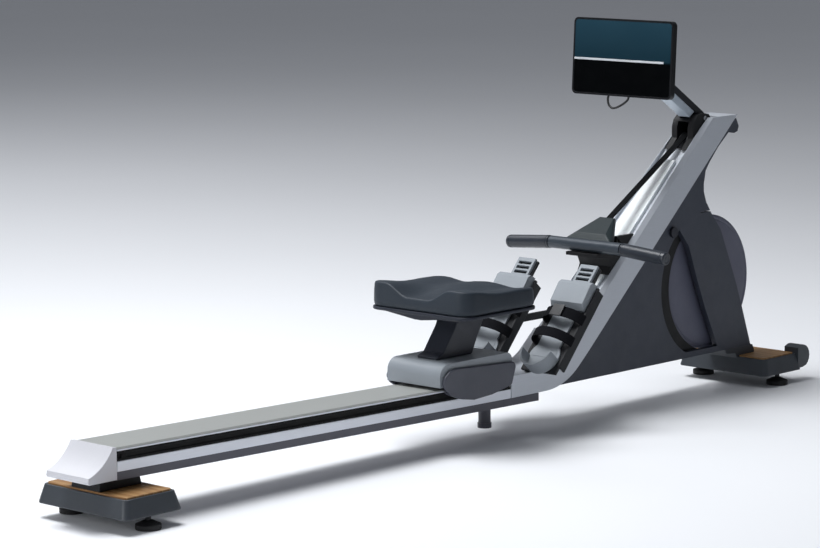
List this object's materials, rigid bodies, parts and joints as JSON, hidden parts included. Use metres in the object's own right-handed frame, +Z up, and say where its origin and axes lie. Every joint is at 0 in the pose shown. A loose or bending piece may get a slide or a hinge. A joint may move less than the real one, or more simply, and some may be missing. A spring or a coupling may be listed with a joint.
{
  "type": "rowing machine",
  "caption": "Rowing machine with a low tilted rail, sliding moulded seat, belt-pulled handle, strapped foot plates, sloping column, round flywheel housing and tilting display.",
  "frame": {"origin": "on the floor, under the middle of the machine", "axes": "+X forward along the machine towards the flywheel, which the rower faces; +Y to the rower's left; +Z up"},
  "size_m": [2.47, 0.5072, 0.9783],
  "materials": {
    "rail_aluminium": "satin anodised",
    "deck_plate": "satin",
    "base_black": "satin",
    "track_black": "matte",
    "cap_grey": "satin",
    "black_plastic": "matte",
    "block_charcoal": "fine texture",
    "wood_inlay": "oiled",
    "foot_rubber": "matte",
    "inlay_white": "satin",
    "panel_charcoal": "fine texture",
    "cover_graphite": "fine texture",
    "plain_steel": "satin",
    "wheel_rubber": "matte",
    "pulley_nylon": "satin",
    "bracket_black": "satin",
    "sole_grey": "satin",
    "strap_webbing": "woven",
    "buckle_black": "satin",
    "flywheel_iron": "machined",
    "belt_rubber": "matte",
    "seat_skin": "soft satin skin",
    "pan_plastic": "satin",
    "pedestal_dark": "satin",
    "carriage_grey": "satin",
    "carriage_dark": "satin",
    "roller_black": "satin",
    "handle_metal": "satin",
    "grip_rubber": "soft matte",
    "yoke_plastic": "satin",
    "belt_webbing": "woven",
    "arm_grey": "satin",
    "arm_black": "satin",
    "display_black": "gloss",
    "screen_glass": "gloss",
    "strip_metal": "satin",
    "cable_black": "matte",
    "bolt_black": "satin"
  },
  "bodies": {
    "frame": {"rail_body": "rail_aluminium", "rail_deck": "deck_plate", "rail_base": "base_black", "track_strips": "track_black", "end_cap": "cap_grey", "rear_riser": "black_plastic", "rear_foot_block": "block_charcoal", "rear_foot_top": "wood_inlay", "levelling_feet": "foot_rubber", "centre_post": "base_black", "front_frame": "rail_aluminium", "column_inlay": "inlay_white", "lift_bar": "panel_charcoal", "side_panel_left": "panel_charcoal", "side_panel_right": "panel_charcoal", "fan_cover_left": "cover_graphite", "fan_cover_right": "cover_graphite", "panel_liners": "black_plastic", "front_foot_block": "block_charcoal", "front_foot_top": "wood_inlay", "wheel_axles": "plain_steel", "head_bracket": "black_plastic", "head_pins": "plain_steel", "handle_holder": "black_plastic", "foot_bracket": "bracket_black", "foot_base_left": "bracket_black", "foot_base_right": "bracket_black", "foot_strap_left": "strap_webbing", "foot_strap_right": "strap_webbing", "strap_buckles": "buckle_black", "drive_axles": "plain_steel", "drive_belt": "belt_rubber", "pull_belt": "belt_webbing", "panel_bolts": "bolt_black"},
    "seat": {"seat_pad": "seat_skin", "seat_pan": "pan_plastic", "seat_pedestal": "pedestal_dark", "seat_carriage": "carriage_grey", "carriage_cover_left": "carriage_dark", "carriage_cover_right": "carriage_dark", "roller_axles": "plain_steel"},
    "roller_set_rear": {"rollers_rear": "roller_black"},
    "roller_set_front": {"rollers_front": "roller_black"},
    "handle": {"handle_bar": "handle_metal", "handle_grip_left": "grip_rubber", "handle_grip_right": "grip_rubber", "handle_yoke": "yoke_plastic"},
    "head_wheel": {"head_pulley": "pulley_nylon"},
    "drum": {"belt_drum": "pulley_nylon"},
    "fly": {"flywheel": "flywheel_iron"},
    "arm": {"display_arm": "arm_grey", "display_arm_cover": "arm_black"},
    "display": {"display_body": "display_black", "display_screen": "screen_glass", "display_strip": "strip_metal", "display_cable": "cable_black"},
    "sole_left": {"foot_slide_left": "sole_grey"},
    "sole_right": {"foot_slide_right": "sole_grey"},
    "wheel_left": {"transport_wheel_left": "wheel_rubber"},
    "wheel_right": {"transport_wheel_right": "wheel_rubber"}
  },
  "joints": [
    {"name": "seat_slide", "type": "slide", "parent": "frame", "child": "seat", "axis": [0.9998, 0, -0.0175], "range_m": [-0.95, 0.01]},
    {"name": "rear_rollers_spin", "type": "hinge", "parent": "seat", "child": "roller_set_rear", "pos_m": [-0.125, 0, 0.16554], "axis": [0, 1, 0], "range_deg": [-4700, 80]},
    {"name": "front_rollers_spin", "type": "hinge", "parent": "seat", "child": "roller_set_front", "pos_m": [0.062, 0, 0.16227], "axis": [0, 1, 0], "range_deg": [-4700, 80]},
    {"name": "handle_pull", "type": "slide", "parent": "frame", "child": "handle", "axis": [-0.9537, 0, 0.3007], "range_m": [0, 1.1], "deforming": ["pull_belt"]},
    {"name": "head_pulley_spin", "type": "hinge", "parent": "frame", "child": "head_wheel", "pos_m": [0.89, 0, 0.642], "axis": [0, 1, 0], "range_deg": [-2200, 20]},
    {"name": "drum_spin", "type": "hinge", "parent": "frame", "child": "drum", "pos_m": [0.638, 0, 0.262], "axis": [0, 1, 0], "range_deg": [-1500, 20]},
    {"name": "flywheel_spin", "type": "hinge", "parent": "frame", "child": "fly", "pos_m": [0.947, 0, 0.282], "axis": [0, 1, 0], "continuous": true},
    {"name": "arm_lift", "type": "hinge", "parent": "frame", "child": "arm", "pos_m": [0.912, 0, 0.711], "axis": [0, 1, 0], "range_deg": [0, 25]},
    {"name": "display_tilt", "type": "hinge", "parent": "arm", "child": "display", "pos_m": [0.65282, 0, 0.87739], "axis": [0, 1, 0], "range_deg": [-15, 20]},
    {"name": "sole_slide_left", "type": "slide", "parent": "frame", "child": "sole_left", "axis": [0.6561, 0, 0.7547], "range_m": [0, 0.02]},
    {"name": "sole_slide_right", "type": "slide", "parent": "frame", "child": "sole_right", "axis": [0.6561, 0, 0.7547], "range_m": [0, 0.02]},
    {"name": "wheel_left_spin", "type": "hinge", "parent": "frame", "child": "wheel_left", "pos_m": [1.208, 0.118, 0.056], "axis": [0, 1, 0], "continuous": true},
    {"name": "wheel_right_spin", "type": "hinge", "parent": "frame", "child": "wheel_right", "pos_m": [1.208, -0.118, 0.056], "axis": [0, 1, 0], "continuous": true}
  ],
  "couplings": [
    {"joint": "rear_rollers_spin", "follows": "seat_slide", "rad_per_m": 83.333},
    {"joint": "front_rollers_spin", "follows": "seat_slide", "rad_per_m": 83.333},
    {"joint": "head_pulley_spin", "follows": "handle_pull", "rad_per_m": -33.333},
    {"joint": "drum_spin", "follows": "handle_pull", "rad_per_m": -22.222}
  ]
}
